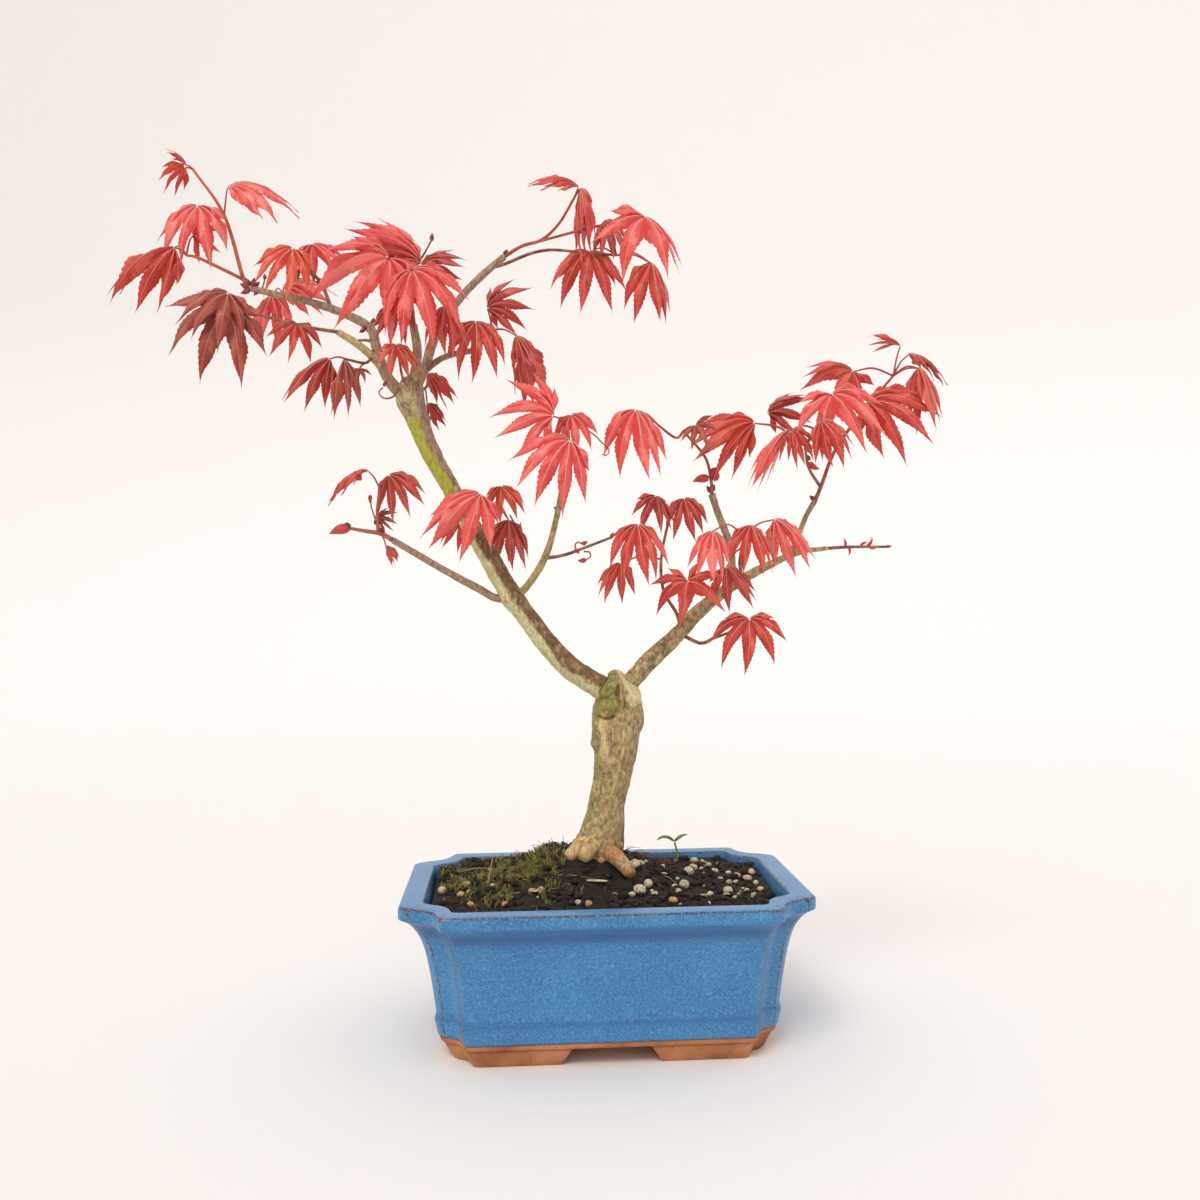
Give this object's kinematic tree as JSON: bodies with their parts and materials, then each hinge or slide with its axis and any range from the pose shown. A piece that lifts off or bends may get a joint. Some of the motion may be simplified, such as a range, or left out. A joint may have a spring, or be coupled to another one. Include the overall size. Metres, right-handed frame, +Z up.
{
  "type": "potted japanese maple bonsai",
  "caption": "Small red-leaved japanese maple with a forked trunk and airy drooping foliage, growing from a mossy soil bed in a blue-glazed rectangular pot with stepped corners and clay feet.",
  "frame": {"origin": "Centre of the whole plant's bounding box in plan, at the level of the undersides of the pot's feet.", "axes": "+Z up, -Y towards the pot's long front, +X to the right along the pot's length."},
  "size_m": [0.4392, 0.1432, 0.4561],
  "materials": {
    "blue_glaze": "gloss",
    "bare_clay": "matte",
    "potting_soil": "matte",
    "bark": "matte",
    "young_bark": "matte",
    "maple_leaf": "satin"
  },
  "bodies": {
    "root": {"pot": "blue_glaze", "clay_base": "bare_clay", "foot_front_right": "bare_clay", "foot_front_left": "bare_clay", "foot_back_right": "bare_clay", "foot_back_left": "bare_clay", "soil": "potting_soil", "trunk": "bark", "bough_left": "bark", "bough_right": "bark", "branch_upper_left": "young_bark", "branch_left_low": "young_bark", "branch_top": "young_bark", "branch_upper_right": "young_bark", "branch_inner_right": "young_bark", "branch_low_left": "young_bark", "branch_centre": "young_bark", "branch_far_right": "young_bark", "branch_right_up": "young_bark", "mass_far_left": "maple_leaf", "mass_left_low": "maple_leaf", "mass_left_back": "maple_leaf", "mass_left_top": "maple_leaf", "mass_crown": "maple_leaf", "mass_knob_left": "maple_leaf", "mass_knob_front": "maple_leaf", "mass_knob_right": "maple_leaf", "mass_inner_right": "maple_leaf", "mass_top_right_upper": "maple_leaf", "mass_top_right_lower": "maple_leaf", "mass_centre": "maple_leaf", "mass_centre_right": "maple_leaf", "mass_bough_front": "maple_leaf", "mass_bough_back": "maple_leaf", "mass_mid_right": "maple_leaf", "mass_far_right": "maple_leaf", "mass_right_tip": "maple_leaf", "mass_right_inner": "maple_leaf", "mass_right_front": "maple_leaf", "mass_right_low": "maple_leaf", "mass_low_left": "maple_leaf"}
  },
  "joints": []
}
